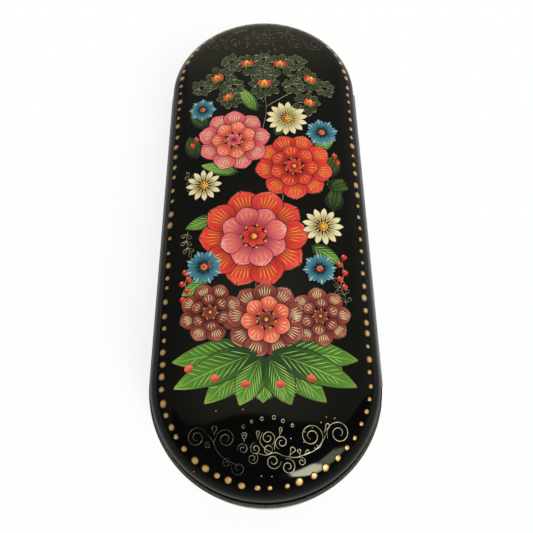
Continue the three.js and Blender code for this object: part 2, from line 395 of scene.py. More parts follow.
# Pigments of the painted flowers: deep, body and light tone
PIGMENTS = {
    "vermilion": ("#8A1510", "#D6372A", "#EE6A4C"),
    "rose": ("#A23440", "#DD6668", "#F2AFA2"),
    "cream": ("#B7A26C", "#E3D8A6", "#F7F1D4"),
    "teal": ("#1C4250", "#3C7A8A", "#93C2C6"),
    "red ochre": ("#481612", "#8C3B2D", "#C98A70"),
    "leaf green": ("#1C3A10", "#4A7D22", "#9CC459"),
    "light green": ("#6C9A34", "#A6C968", "#D6E6A0"),
    "olive": ("#121A0A", "#273315", "#42502A"),
    "moss": ("#2A3616", "#48552A", "#6C7A44"),
    "yellow": ("#B8741E", "#EDB23C", "#FADF86"),
    "coral": ("#A83A2C", "#EA684E", "#F7A28C"),
    "umber": ("#150A06", "#2A1710", "#4A2C1E"),
}

# What the reach along a dab, its streaks and its tone come to together at its end
LIGHTEST = 1.55


def tempera(pigment):
    """Egg tempera laid in strokes along each dab, under clear lacquer rubbed to a mirror gloss"""
    deep, body, light = map(linear, PIGMENTS[pigment])
    add = start_material("Tempera " + pigment)[0]
    along = add("UVMap", uv_map="Stroke")
    hairs = add("Mapping", {"Vector": along, "Scale": (9, 1.6, 1)})
    streaks = add("TexNoise", {"Vector": hairs, "Scale": 1.0, "Detail": 3.0})
    tone = add("Attribute", attribute_name="tone").outputs["Fac"]
    reach = add("SeparateXYZ", {"Vector": along}).outputs["Y"]
    shifted = add("Math", {0: streaks, 1: 0.7, 2: reach}, operation="MULTIPLY_ADD")
    lightness = add("Math", {0: shifted, 1: tone}, operation="ADD")
    share = add("MapRange", {"Value": lightness, "From Max": LIGHTEST})
    shade = add("ValToRGB", {"Fac": share}, [(0.3, deep), (0.72, body), (1.0, light)])
    shade.color_ramp.interpolation = "EASE"
    finish_material(add, {"Base Color": shade, "Roughness": 0.32, "IOR": 1.4}, streaks, 0.02)


# Building pieces


def sharpen(bm, degrees):
    """Smooths the edges of a bmesh, apart from those between faces that bend by more than some degrees"""
    limit = math.radians(degrees)
    for edge in bm.edges:
        edge.smooth = not edge.is_manifold or edge.calc_face_angle(0) < limit


def finish_piece(name, bm, body, materials, sharp_degrees=SHARP):
    """Turns a finished bmesh into a smooth shaded piece of named materials that rides on a body"""
    for face in bm.faces:
        face.smooth = True
    sharpen(bm, sharp_degrees)
    mesh = bpy.data.meshes.new(name)
    bm.to_mesh(mesh)
    bm.free()
    for material in materials:
        mesh.materials.append(bpy.data.materials[material])
    piece = bpy.data.objects.new(name, mesh)
    bpy.context.scene.collection.objects.link(piece)
    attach(piece, body)
    return piece


def sweep_oval(outline, end_steps=72, side_steps=48):
    """The oval counterpart of a lathe: sweeps an outline of (radius, height) points round the case. An
    outline with no point on the spine is closed."""
    bm = bmesh.new()
    corners = [bm.verts.new((radius, -HALF_SPINE, height)) for radius, height in outline]
    pairs = list(zip(corners, corners[1:]))
    if outline[0][0] > 0:
        pairs.append((corners[-1], corners[0]))
    rail = corners + [bm.edges.new(pair) for pair in pairs]
    for end in (1, -1):
        step = Vector((0, end * 2 * HALF_SPINE / side_steps, 0))
        straight = bmesh.ops.spin(bm, geom=rail, axis=UP, angle=0, dvec=step, steps=side_steps)
        centre = Vector((0, end * HALF_SPINE, 0))
        turn = bmesh.ops.spin(
            bm, geom=straight["geom_last"], cent=centre, axis=UP, angle=math.pi, steps=end_steps
        )
        rail = turn["geom_last"]
    bmesh.ops.remove_doubles(bm, verts=bm.verts, dist=MERGE)
    bmesh.ops.recalc_face_normals(bm, faces=bm.faces)
    return bm


def round_corner(radius, height, size, from_degrees, to_degrees, steps=6):
    """Points of a rounded corner of an outline, about its centre"""
    turns = [math.radians(from_degrees + (to_degrees - from_degrees) * i / steps) for i in range(steps + 1)]
    return [(radius + size * math.cos(t), height + size * math.sin(t)) for t in turns]


def lid_height(inset):
    """Height of the lid's outer surface at a distance in from its outline"""
    shell = settings().shell
    on_shoulder = min(max(inset / shell.shoulder_width, 0), 1)
    on_crown = min(max(inset / LID_RADIUS, 0), 1)
    crown_rise = LID_HIGH.z - SEAM - shell.side_height - shell.shoulder_height
    shoulder = shell.shoulder_height * math.sqrt(1 - (1 - on_shoulder) ** 2)
    return SEAM + shell.side_height + shoulder + crown_rise * (1 - (1 - on_crown) ** 2)


def under_lid(first, thickness, steps):
    """Outline of the lid's surface moved inwards, square to itself, by a thickness, from a first inset to the
    spine. Its points are closest together near the first inset, where the shoulder bends most."""
    step = 0.01 * MM
    outline = []
    for i in range(steps + 1):
        inset = first + (LID_RADIUS - first) * (1 - math.cos(math.pi * i / steps / 2))
        slope = (lid_height(inset + step) - lid_height(inset - step)) / (2 * step)
        height = lid_height(inset) - thickness * math.hypot(1, slope)
        outline.append((LID_RADIUS - inset if i < steps else 0, height))
    return outline


def cut(piece, tools):
    """Cuts closed bodies out of a piece, and sharpens the edges that this leaves"""
    cutters = []
    for bm in tools:
        mesh = bpy.data.meshes.new("cutter")
        bm.to_mesh(mesh)
        bm.free()
        cutter = bpy.data.objects.new("cutter", mesh)
        bpy.context.scene.collection.objects.link(cutter)
        boolean = piece.modifiers.new("cut", "BOOLEAN")
        boolean.object = cutter
        boolean.operation = "DIFFERENCE"
        boolean.solver = "EXACT"
        cutters.append(cutter)
    graph = bpy.context.evaluated_depsgraph_get()
    mesh = bpy.data.meshes.new_from_object(piece.evaluated_get(graph))
    piece.modifiers.clear()
    piece.data = mesh
    for cutter in cutters:
        bpy.data.objects.remove(cutter)
    bm = bmesh.new()
    bm.from_mesh(mesh)
    sharpen(bm, SHARP)
    bm.to_mesh(mesh)
    bm.free()


def add_rod(bm, radius, low, high, sides=28):
    """Adds a round rod from one point to another"""
    turn = UP.rotation_difference(high - low).to_matrix().to_4x4()
    place = Matrix.Translation((low + high) / 2) @ turn
    depth = (high - low).length
    return bmesh.ops.create_cone(
        bm, cap_ends=True, segments=sides, radius1=radius, radius2=radius, depth=depth, matrix=place
    )["verts"]


def add_block(bm, low, high):
    """Adds a box between two corners"""
    place = Matrix.Translation((low + high) / 2) @ Matrix.Diagonal((*(high - low), 1))
    bmesh.ops.create_cube(bm, size=1, matrix=place)


def bevel_edges(bm, verts, size, segments=2, least_degrees=50):
    """Rounds the sharp edges between some vertices"""
    inside = set(verts)
    limit = math.radians(least_degrees)
    edges = [e for e in bm.edges if inside.issuperset(e.verts) and e.calc_face_angle(0) > limit]
    bmesh.ops.bevel(
        bm, geom=edges, offset=size, segments=segments, profile=0.5, affect="EDGES", material=-1
    )


def hinge_hollow(side):
    """Closed bodies for what a wall loses to the hinge: the groove round the barrel and the leaf's seat. A
    side is -1 for the base and 1 for the lid."""
    hinge, shell = settings().hinge, settings().shell
    reach = Vector((0, HALF_HINGE + (hinge.groove_overrun if side < 0 else hinge.clearance), 0))
    groove = bmesh.new()
    add_rod(groove, BARREL_RADIUS + hinge.clearance, HINGE - reach, HINGE + reach, 40)
    wall_inside = BASE_RADIUS - shell.base_wall if side < 0 else LID_RADIUS - shell.lid_wall
    depth = SEAM_GAP / 2 + hinge.leaf + hinge.leaf_room
    half = HALF_HINGE + hinge.clearance
    corner = Vector((wall_inside - hinge.clearance, -half, HINGE.z))
    other = Vector((HINGE.x, half, HINGE.z + side * depth))
    seat = bmesh.new()
    add_block(seat, Vector(map(min, corner, other)), Vector(map(max, corner, other)))
    return [groove, seat]


# The lacquered boards


class SPECTACLE_OT_lid(bpy.types.Operator):
    """Lay up the pillow-shaped lid, black outside and red inside"""

    bl_idname = "spectacle.lid"
    bl_label = "Lid"

    def execute(self, context):
        shell = settings().shell
        arris, inner_round = shell.lid_arris, shell.lid_arris / 2
        bottom, inside = LID_LOW.z, LID_RADIUS - shell.lid_wall
        outer = under_lid(0, 0, 44)
        inner = under_lid(shell.lid_wall, shell.lid_crown, 28)
        rim = round_corner(LID_RADIUS - arris, bottom + arris, arris, 0, -90)
        rim += round_corner(inside + inner_round, bottom + inner_round, inner_round, -90, -180, 3)
        bm = sweep_oval(outer[::-1] + rim + inner)
        for face in bm.faces:
            middle = face.calc_center_median()
            inset = LID_RADIUS - math.hypot(middle.x, max(abs(middle.y) - HALF_SPINE, 0))
            if inset > shell.lid_wall - 0.02 * MM and middle.z < lid_height(inset) - shell.lid_crown / 2:
                face.material_index = len(LID_LACQUERS)
            else:
                face.material_index = sum(inset > start * MM for start in LACQUER_INSETS)
        lacquers = [*LID_LACQUERS, "Brushed red lacquer"]
        piece = finish_piece("lacquered_lid", bm, "lid", lacquers)
        cut(piece, hinge_hollow(1))
        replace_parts(piece, "lid_shell")
        return {"FINISHED"}


class SPECTACLE_OT_base(bpy.types.Operator):
    """Wind the base's wall, glue on the bottom board, and set the red sleeve inside"""

    bl_idname = "spectacle.base"
    bl_label = "Base"

    def execute(self, context):
        shell = settings().shell
        blacks = ["Brushed black lacquer", "Rubbed black lacquer"]
        rim = shell.base_rim
        inside, rubbed_from = BASE_RADIUS - shell.base_wall, SEAM - 2 * rim
        wall = [(inside, WALL_LOW.z), (BASE_RADIUS, WALL_LOW.z), (BASE_RADIUS, rubbed_from)]
        wall += round_corner(BASE_RADIUS - rim, SEAM - rim, rim, 0, 90) + [(inside, SEAM)]
        bm = sweep_oval(wall)
        for face in bm.faces:
            face.material_index = int(face.calc_center_median().z > rubbed_from)
        piece = finish_piece("lacquered_base_wall", bm, "base", blacks)
        cut(piece, hinge_hollow(-1))
        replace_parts(piece, "base_wall")

        foot = shell.foot_round
        board = [(0, 0)] + round_corner(BASE_RADIUS - foot, foot, foot, -90, 0, 10)
        bm = sweep_oval(board + [(BASE_RADIUS, BOARD_TOP), (0, BOARD_TOP)])
        piece = finish_piece("lacquered_bottom_board", bm, "base", blacks[:1])
        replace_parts(piece, "base_bottom_board")

        # Below the seam the sleeve is glued to the wall; above it the lip has room to enter the lid
        lip, lip_round = SLEEVE_HIGH.x, shell.lip_chamfer
        inside, top = lip - shell.lip_thickness, SLEEVE_HIGH.z
        sleeve = [(inside, SLEEVE_LOW.z), (lip, SLEEVE_LOW.z), (lip, SEAM)]
        sleeve += round_corner(lip - lip_round, top - lip_round, lip_round, 0, 90)
        sleeve += round_corner(inside + lip_round, top - lip_round, lip_round, 90, 180, 4)
        piece = finish_piece("red_sleeve", sweep_oval(sleeve), "base", ["Brushed red lacquer"])
        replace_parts(piece, "base_inner_sleeve")
        return {"FINISHED"}


class SPECTACLE_OT_linings(bpy.types.Operator):
    """Line the base and the lid with velvet"""

    bl_idname = "spectacle.linings"
    bl_label = "Velvet Linings"

    def execute(self, context):
        lining, shell = settings().lining, settings().shell
        velvet = ["Cotton velvet"]
        pile = lining.pile

        # The floor pad is a crowned card: low and rolled over at its edge, full height inside
        radius, floor, full = PAD_HIGH.x, PAD_LOW.z, PAD_HIGH.z - PAD_LOW.z
        roll = lining.edge / 2
        outline = [(0, floor)] + round_corner(radius - roll, floor + roll, roll, -90, 90)
        crown_steps = 12
        for i in range(1, crown_steps + 1):
            share = i / crown_steps
            rise = lining.edge + (full - lining.edge) * math.sin(math.pi * share / 2)
            outline.append((radius - roll - (lining.crown_width - roll) * share, floor + rise))
        bm = sweep_oval(outline + [(0, floor + full)])
        piece = finish_piece("velvet_floor_pad", bm, "base", velvet)
        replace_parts(piece, "base_floor_pad")

        outside, low, high = BAND_HIGH.x, BAND_LOW.z, BAND_HIGH.z
        half = pile / 2
        band = [(outside, low), (outside, high - half)]
        band += round_corner(outside - half, high - half, half, 0, 180)
        bm = sweep_oval(band + [(outside - pile, low)])
        piece = finish_piece("velvet_wall_band", bm, "base", velvet)
        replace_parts(piece, "base_wall_velvet")

        radius, glued = LINING_RADIUS, shell.lid_crown + SEAM_GAP
        back = under_lid(LID_RADIUS - radius, glued, 24)
        (across, height), *face = under_lid(LID_RADIUS - radius, glued + pile, 24)
        bm = sweep_oval(back[::-1] + [(across, height + pile / 3), (across - pile / 3, height)] + face)
        piece = finish_piece("velvet_lid_lining", bm, "lid", velvet)
        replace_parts(piece, "lid_velvet")
        return {"FINISHED"}


class SPECTACLE_OT_hinge(bpy.types.Operator):
    """Roll the hinge's knuckles and leaves, and fit its pins"""

    bl_idname = "spectacle.hinge"
    bl_label = "Hinge"

    def finish(self, name, bm, body):
        """Makes a steel piece"""
        return finish_piece(name, bm, body, ["Plated steel"])

    def leaf(self, side, body, node, name):
        """One leaf with its knuckles and a tongue to each, in the frame's place"""
        hinge = settings().hinge
        bm = bmesh.new()
        low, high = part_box(node)
        seat = HINGE.z + side * SEAM_GAP / 2
        plate_end = HINGE.x - BARREL_RADIUS - hinge.clearance
        bottom, top = sorted((seat, seat + side * hinge.leaf))
        add_block(bm, Vector((low.x, low.y, bottom)), Vector((plate_end, high.y, top)))
        pitch = 2 * HALF_HINGE / hinge.knuckles
        # The base's leaf has the first knuckle and every second one after it. The lid's leaf has the others.
        for k in range(int(side > 0), hinge.knuckles, 2):
            start = k * pitch - HALF_HINGE + (hinge.knuckle_gap / 2 if k else 0)
            end = (k + 1) * pitch - HALF_HINGE - (hinge.knuckle_gap / 2 if k < hinge.knuckles - 1 else 0)
            add_block(bm, Vector((plate_end, start, bottom)), Vector((HINGE.x, end, top)))
            knuckle = add_rod(bm, BARREL_RADIUS, HINGE + Vector((0, start, 0)), HINGE + Vector((0, end, 0)))
            bevel_edges(bm, knuckle, 0.08 * MM)
        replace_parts(self.finish(name, bm, body), node)

    def nails(self, side, body, prefix, name):
        """The small round-headed pins that hold a leaf"""
        radius = settings().hinge.pin
        nodes = sorted(n for n in frame["nodes"] if n.startswith(prefix))
        bm = bmesh.new()
        for node in nodes:
            low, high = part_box(node)
            middle = (low + high) / 2
            tip_z, head_z = sorted((low.z, high.z), reverse=side > 0)
            rod = add_rod(bm, radius, Vector((*middle.xy, tip_z)), Vector((*middle.xy, head_z)), 20)
            bevel_edges(bm, rod, radius / 3, 3)
        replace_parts(self.finish(name, bm, body), *nodes)

    def execute(self, context):
        self.leaf(-1, "base", "hinge_base_leaf", "rolled_base_leaf")
        self.leaf(1, "lid", "hinge_lid_leaf", "rolled_lid_leaf")
        self.nails(-1, "base", "base_leaf_pin", "base_leaf_nails")
        self.nails(1, "lid", "lid_leaf_pin", "lid_leaf_nails")
        bm = bmesh.new()
        low, high = (Vector((HINGE.x, y, HINGE.z)) for y in (PIN_LOW.y, PIN_HIGH.y))
        bevel_edges(bm, add_rod(bm, settings().hinge.pin, low, high), 0.1 * MM, 3)
        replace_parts(self.finish("hinge_wire", bm, "base"), "hinge_pin")
        return {"FINISHED"}


# Drawing on the lid, in millimetres


def placed(x, y, degrees, along, across=0):
    """The place that lies so far along a direction from a foot, and so far to the left of it"""
    turn = math.radians(degrees)
    return (
        x + along * math.cos(turn) - across * math.sin(turn),
        y + along * math.sin(turn) + across * math.cos(turn),
    )


def drape(x, y, lift):
    """The point of the lid's surface over a place of the drawing, raised by a lift in millimetres"""
    inset = LID_RADIUS - math.hypot(x * MM, max(abs(y * MM) - HALF_SPINE, 0))
    return Vector((x * MM, y * MM, lid_height(inset) + lift * MM))


def lid_normal(x, y):
    """The lid's normal over a place of the drawing"""
    step = 0.05
    across = drape(x + step, y, 0) - drape(x - step, y, 0)
    along = drape(x, y + step, 0) - drape(x, y - step, 0)
    return across.cross(along).normalized()


def add_drop(bm, rim, x, y, radius, height, squeeze=1.0, sides=14, rings=8):
    """Adds one flattened drop of paint, half sunk in the lid, that stands square to it"""
    turn = UP.rotation_difference(lid_normal(x, y)).to_matrix().to_4x4()
    size = Matrix.Diagonal((radius * MM, radius * MM * squeeze, height * MM, 1))
    place = Matrix.Translation(drape(x, y, 0)) @ turn
    ball = bmesh.ops.create_uvsphere(bm, u_segments=sides, v_segments=rings, radius=1)["verts"]
    for vert in ball:
        # The rim share darkens a drop towards its edge: painted shade where its side turns from the light
        vert[rim] = math.hypot(vert.co.x, vert.co.y) ** 3
        # A drop is flatter on top and steeper at its rim than a ball
        vert.co.z = math.copysign(abs(vert.co.z) ** 0.7, vert.co.z)
    bmesh.ops.transform(bm, matrix=place @ size, verts=ball)


def oval_place(radius, distance):
    """The place on an oval round the spine, in millimetres, at a distance along it from its hinge side"""
    half = HALF_SPINE / MM
    side, bend = 2 * half, math.pi * radius
    second, distance = divmod(distance % (2 * (side + bend)), side + bend)
    end = -1 if second else 1
    if distance < side:
        return end * radius, end * (distance - half)
    turn = (distance - side) / radius
    return end * radius * math.cos(turn), end * (half + radius * math.sin(turn))


# The dotted border as the brush laid it: inset and pitch of the dots in millimetres, at the near end, middle
# and far end of the right side, the far end, the same three on the left side, and the near end
DOT_PLACES = ((3.9, 3.6), (2.9, 3.9), (3.0, 3.6), (4.2, 3.9), (3.7, 3.4), (3.4, 4.5), (4.2, 3.3), (3.1, 3.6))

# Inset of the oval along which the dots are counted, and the least room for a last dot
DOT_OVAL, LAST_ROOM = 3.5, 2.5


def dot_place(distance, side, bend):
    """Inset and pitch of the dots at a distance round the lid, with the lengths of a side and of an end"""
    half, turned = divmod(distance, side + bend)
    if turned < side:
        at = 4 * half + 2 * turned / side
    else:
        at = 4 * half + 2 + 2 * (turned - side) / bend
    first = int(at) % len(DOT_PLACES)
    low, high = DOT_PLACES[first], DOT_PLACES[(first + 1) % len(DOT_PLACES)]
    return [a + (b - a) * (at % 1) for a, b in zip(low, high)]


class SPECTACLE_OT_dot_border(bpy.types.Operator):
    """Set a ring of gold dots along the lid's shoulder"""

    bl_idname = "spectacle.dot_border"
    bl_label = "Dot Border"

    def execute(self, context):
        gold = settings().gold
        draw = random.Random(4)
        outline, spine = LID_RADIUS / MM, HALF_SPINE / MM
        middle = outline - DOT_OVAL
        side, bend = 2 * spine, math.pi * middle
        bm = bmesh.new()
        rim = bm.verts.layers.float.new("rim")
        small, large = gold.dot_small / MM / 2, gold.dot_large / MM / 2
        distance = 0
        while distance < 2 * (side + bend) - LAST_ROOM:
            inset, pitch = dot_place(distance, side, bend)
            straight_x, straight_y = oval_place(middle, distance + draw.uniform(-0.4, 0.4))
            reach = outline - inset + draw.uniform(-0.15, 0.15)
            spine_y = max(min(straight_y, spine), -spine)
            x = straight_x * reach / middle
            y = spine_y + (straight_y - spine_y) * reach / middle
            # Most dots are small
            size = small + (large - small) * draw.random() ** 1.7
            add_drop(bm, rim, x, y, size, gold.dot_height / MM, draw.uniform(0.86, 1.1))
            distance += pitch * draw.uniform(0.94, 1.06)
        finish_piece("gold_dot_border", bm, "lid", ["Bronze powder gold"], PAINT_SHARP)
        return {"FINISHED"}


def smooth_path(points, step=0.5):
    """A smooth path through points, in steps of about this many millimetres"""
    knots = [Vector(p) for p in points]
    knots = [2 * knots[0] - knots[1]] + knots + [2 * knots[-1] - knots[-2]]
    path = []
    for a, b, c, d in zip(knots, knots[1:], knots[2:], knots[3:]):
        steps = max(2, round((c - b).length / step))
        for t in (i / steps for i in range(steps)):
            curve = (c - a) * t + (2 * a - 5 * b + 4 * c - d) * t**2 + (3 * b - a - 3 * c + d) * t**3
            path.append(b + curve / 2)
    return path + [knots[-2]]


def coil(x, y, radius, start, turns, inner=0.22):
    """A path that coils in from a rim: start in degrees, and turns that are negative for clockwise"""
    steps = int(abs(turns) * 26)
    path = []
    for share in (i / steps for i in range(steps + 1)):
        size = radius * (1 - (1 - inner) * share**0.9)
        path.append(placed(x, y, start + 360 * turns * share, size))
    return path


def ring(x, y, radius, steps=18):
    """A small closed loop"""
    return [placed(x, y, 360 * i / steps, radius) for i in range(steps + 1)]


def bud(x, y, degrees, length, width, steps=20):
    """A teardrop loop from its foot and back"""
    path = []
    for turn in (math.pi * (i / steps) for i in range(steps + 1)):
        along = length * math.sin(turn) ** 0.8
        across = width * math.sin(2 * turn) * (0.35 + 0.65 * math.sin(turn))
        path.append(placed(x, y, degrees, along, across))
    return path


class LineWork:
    """Fine raised lines of gold, drawn on the lid and gathered into one piece"""

    def __init__(self, name, roundness=1):
        self.name = name
        self.curve = bpy.data.curves.new(name, "CURVE")
        self.curve.dimensions = "3D"
        self.curve.bevel_depth = 1.0
        self.curve.bevel_resolution = roundness
        self.curve.use_fill_caps = True

    def line(self, path, width, taper=0.35, lift=0.01):
        """Draws one line, thinner at its ends by the taper. A line that lies on paint has a higher lift."""
        spline = self.curve.splines.new("POLY")
        last = len(path) - 1
        spline.points.add(last)
        for i, (x, y) in enumerate(path):
            # A line has its full width from a quarter of its length in
            end = min(i, last - i) / max(last * 0.25, 1)
            spline.points[i].co = (*drape(x, y, lift), 1)
            spline.points[i].radius = width / 2 * MM * (taper + (1 - taper) * min(end, 1))

    def finish(self, wear):
        """Makes the piece. Wear gives how far the gold is rubbed thin at a place of the drawing."""
        holder = bpy.data.objects.new(self.name, self.curve)
        bpy.context.scene.collection.objects.link(holder)
        mesh = bpy.data.meshes.new_from_object(holder.evaluated_get(bpy.context.evaluated_depsgraph_get()))
        bpy.data.objects.remove(holder)
        bm = bmesh.new()
        bm.from_mesh(mesh)
        rim = bm.verts.layers.float.new("rim")
        bmesh.ops.remove_doubles(bm, verts=bm.verts, dist=MERGE)
        for vert in bm.verts:
            vert[rim] = wear(vert.co.x / MM, vert.co.y / MM)
        finish_piece(self.name, bm, "lid", ["Pale gold line"], PAINT_SHARP)


# The scrollwork at the lid's near end: coils (x, y, radius, start, turns), stems, teardrops and rings
SCROLL_COILS = (
    (-17.6, -68.0, 2.7, 20, 1.75),
    (-10.1, -68.4, 2.5, 170, -1.7),
    (11.6, -67.9, 3.1, -35, 1.8),
    (18.7, -67.2, 3.2, 205, -1.75),
    (0.6, -68.3, 1.9, -60, 1.5),
    (4.1, -69.4, 1.8, 250, -1.5),
    (5.6, -75.2, 2.0, 110, -1.6),
    (1.9, -73.9, 2.0, 0, -1.5),
    (-2.5, -70.9, 1.5, 100, 1.5),
    (-3.3, -73.2, 1.5, 60, -1.5),
    (-6.8, -75.4, 1.9, 150, 1.4),
    (-5.7, -70.9, 1.5, 200, -1.5),
    (-9.8, -74.1, 1.2, 40, 1.4),
    (9.0, -74.0, 1.1, 120, -1.4),
    (-14.6, -69.9, 0.9, 60, 1.3),
)
SCROLL_STEMS = (
    ((4.4, -72.6), (7.1, -73.0), (8.8, -72.7), (12.2, -71.4), (14.1, -69.6), (15.7, -67.0)),
    ((12.2, -71.4), (13.8, -70.4), (14.3, -69.4)),
    ((-15.0, -67.0), (-13.4, -68.9), (-12.2, -71.4), (-10.2, -73.2), (-7.7, -74.4), (-5.2, -75.2)),
    ((-12.5, -67.9), (-13.2, -69.2), (-12.7, -70.6)),
    ((4.4, -72.6), (2.4, -71.8), (0.2, -72.4), (-2.0, -72.0)),
    ((-0.8, -66.9), (-1.4, -69.2), (0.0, -71.0), (2.0, -72.0)),
    ((3.6, -67.7), (2.4, -69.4), (2.2, -71.2)),
)
SCROLL_BUDS = (
    (14.9, -67.2, 62, 2.6, 0.55),
    (-13.1, -67.6, 88, 2.3, 0.75),
    (-2.0, -68.6, 88, 2.0, 0.45),
    (3.6, -67.7, 80, 1.9, 0.4),
    (6.0, -72.6, 60, 2.2, 0.75),
    (8.6, -72.6, 100, 1.5, 0.5),
    (9.6, -72.4, 40, 1.6, 0.45),
    (-5.4, -69.2, 90, 2.2, 0.75),
)
SCROLL_RINGS = (
    (-5.6, -65.5, 0.38), (-3.5, -64.3, 0.34), (-0.9, -63.6, 0.42), (2.2, -63.3, 0.42), (4.5, -64.2, 0.42),
    (6.9, -65.3, 0.34), (0.7, -71.1, 1.0), (-5.4, -68.0, 0.45),
)
SCROLL_SPECKS = (
    (-12.8, -61.5), (-5.8, -61.2), (-18.3, -75.8), (-1.1, -77.3), (1.5, -77.4), (14.2, -64.6), (15.7, -63.3),
    (17.8, -63.5), (6.4, -68.5), (10.0, -66.9), (11.9, -65.9), (9.7, -69.4), (12.4, -70.8), (13.0, -70.2),
)


class SPECTACLE_OT_scrollwork(bpy.types.Operator):
    """Draw the gold scrollwork at both ends of the lid"""

    bl_idname = "spectacle.scrollwork"
    bl_label = "Scrollwork"

    def wear(self, x, y):
        """The gold is fresh on the near end's right half and rubbed thin on its left and at the far end"""
        if y > 0:
            return 0.6
        left = min(max((4 - x) / 12, 0), 1)
        low = min(max((-70 - y) / 4, 0), 1)
        return 0.62 * left + 0.2 * left * low

    def execute(self, context):
        width = settings().gold.line / MM
        paths = [coil(*entry) for entry in SCROLL_COILS]
        paths += [smooth_path(entry) for entry in SCROLL_STEMS]
        paths += [bud(*entry) for entry in SCROLL_BUDS]
        paths += [ring(*entry) for entry in SCROLL_RINGS]
        for name, flip in (("gold_scrollwork_near", 1), ("gold_scrollwork_far", -1)):
            work = LineWork(name)
            for path in paths:
                work.line([(x, flip * y) for x, y in path], width)
            work.finish(self.wear)
        bm = bmesh.new()
        rim = bm.verts.layers.float.new("rim")
        for x, y in SCROLL_SPECKS:
            add_drop(bm, rim, x, y, 0.18, 0.06, sides=8, rings=6)
        finish_piece("gold_specks", bm, "lid", ["Pale gold line"], PAINT_SHARP)
        return {"FINISHED"}


# Heights in millimetres: the underside of the lowest dab over the lid, each further layer over the last, and
# the gold outline of a lowest dab, which lies along the edge of its face
PAINT_LIFT, LAYER_LIFT, OUTLINE_LIFT = 0.03, 0.012, 0.14


def swell(reach, fullest):
    """Share of a dab's full width at a share of its length"""
    return max(math.sin(math.pi * reach ** (math.log(0.5) / math.log(fullest))), 0) ** 0.75


def dab_edge(x, y, degrees, length, width, fullest, steps=7):
    """The edge of a straight dab, from its foot along one side to its end and back along the other"""
    sides = [(i / steps, width / 2 * swell(i / steps, fullest)) for i in range(steps + 1)]
    sides += [(reach, -across) for reach, across in sides[-2::-1]]
    return [placed(x, y, degrees, length * reach, across) for reach, across in sides]


class Paintwork:
    """Dabs and strokes of tempera on the lid, each a thin flat body of paint, gathered into one piece. A
    higher layer lies over a lower one."""

    def __init__(self, name, seed):
        self.name = name
        self.draw = random.Random(seed)
        self.bm = bmesh.new()
        self.bm.loops.layers.uv.new("Stroke")
        self.tone = self.bm.verts.layers.float.new("tone")
        self.pigments = {}

    def dab(self, pigment, x, y, degrees, length, width, layer, fullest=0.5, notch=0, bend=0, steps=(2, 8)):
        """Lays one dab from its foot outwards. Fullest is where it is widest, notch dents its end and bend
        curves it sideways, all as shares of its length."""
        grid = bmesh.ops.create_grid(
            self.bm, x_segments=steps[0], y_segments=steps[1], size=0.5, calc_uvs=True
        )
        index = self.pigments.setdefault(pigment, len(self.pigments))
        tone = self.draw.uniform(-0.1, 0.1)
        for vert in grid["verts"]:
            side, reach = 2 * vert.co.x, vert.co.y + 0.5
            across = side * width / 2 * max(swell(reach, fullest), 0.05) + bend * length * reach**2
            along = length * reach * (1 - notch * (1 - side**2) * reach**4)
            vert.co = drape(*placed(x, y, degrees, along, across), PAINT_LIFT + LAYER_LIFT * layer)
            vert[self.tone] = tone
            for face in vert.link_faces:
                face.material_index = index

    def stroke(self, pigment, x, y, degrees, length, width, layer, bend=0):
        """Lays one thin stroke"""
        self.dab(pigment, x, y, degrees, length, width, layer, 0.45, bend=bend, steps=(1, 6))

    def spot(self, pigment, x, y, radius, layer):
        """Lays one round spot"""
        self.dab(pigment, x - radius, y, 0, 2 * radius, 2 * radius, layer, steps=(2, 6))

    def finish(self):
        """Gives the paint its thickness and makes the piece"""
        bmesh.ops.solidify(self.bm, geom=self.bm.faces[:], thickness=settings().gold.paint)
        if self.bm.calc_volume(signed=True) < 0:
            bmesh.ops.reverse_faces(self.bm, faces=self.bm.faces[:])
        materials = ["Tempera " + pigment for pigment in self.pigments]
        finish_piece(self.name, self.bm, "lid", materials)


# The flowers' own measures below are shares of their radius, and the widths of contours and strokes are in
# millimetres. Directions are in degrees.


def petal(art, x, y, way, length, width, body, hatching, layer, hairs=5):
    """One petal: a dark contour under a dab that pales to its end, with fine strokes fanned over it"""
    fx, fy = placed(x, y, way, -0.15)
    art.dab("umber", fx, fy, way, length + 0.45, width + 0.45, layer, 0.62, 0.1)
    art.dab(body, x, y, way, length, width, layer + 0.4, 0.62, 0.12)
    for i in range(hairs):
        fan = (i / (hairs - 1) - 0.5) * 2
        sx, sy = placed(x, y, way + 17 * fan * width / length, (0.42 + 0.06 * abs(fan)) * length)
        reach = (0.46 - 0.12 * abs(fan)) * length * art.draw.uniform(0.85, 1.05)
        art.stroke(hatching, sx, sy, way + 20 * fan * width / length, reach, 0.26, layer + 1)


def peony(art, x, y, radius, turn, outer, inner, hatching, petals):
    """A full double blossom: two rows of hatched petals and a curled heart ringed with yellow grains"""
    for i in range(petals):
        way = turn + i * 360 / petals + art.draw.uniform(-3, 3)
        px, py = placed(x, y, way, 0.3 * radius)
        petal(art, px, py, way, 0.72 * radius, 0.62 * radius, outer, hatching, 1 if i % 2 else 2.2)
    count = petals - 2
    for i in range(count):
        way = turn + 17 + i * 360 / count
        px, py = placed(x, y, way, 0.14 * radius)
        petal(art, px, py, way, 0.5 * radius, 0.44 * radius, inner, hatching, 4 if i % 2 else 5.2, 3)
    art.spot("umber", x, y, 0.24 * radius, 6.5)
    for i in range(7):
        way = turn + i * 360 / 7
        px, py = placed(x, y, way, 0.03 * radius)
        art.dab(outer, px, py, way, 0.19 * radius, 0.15 * radius, 7, 0.6, bend=0.1)
        sx, sy = placed(x, y, way + 25, 0.235 * radius)
        art.spot("yellow", sx, sy, 0.014 * radius + 0.14, 8)
    art.spot("yellow", x, y, 0.055 * radius, 8)


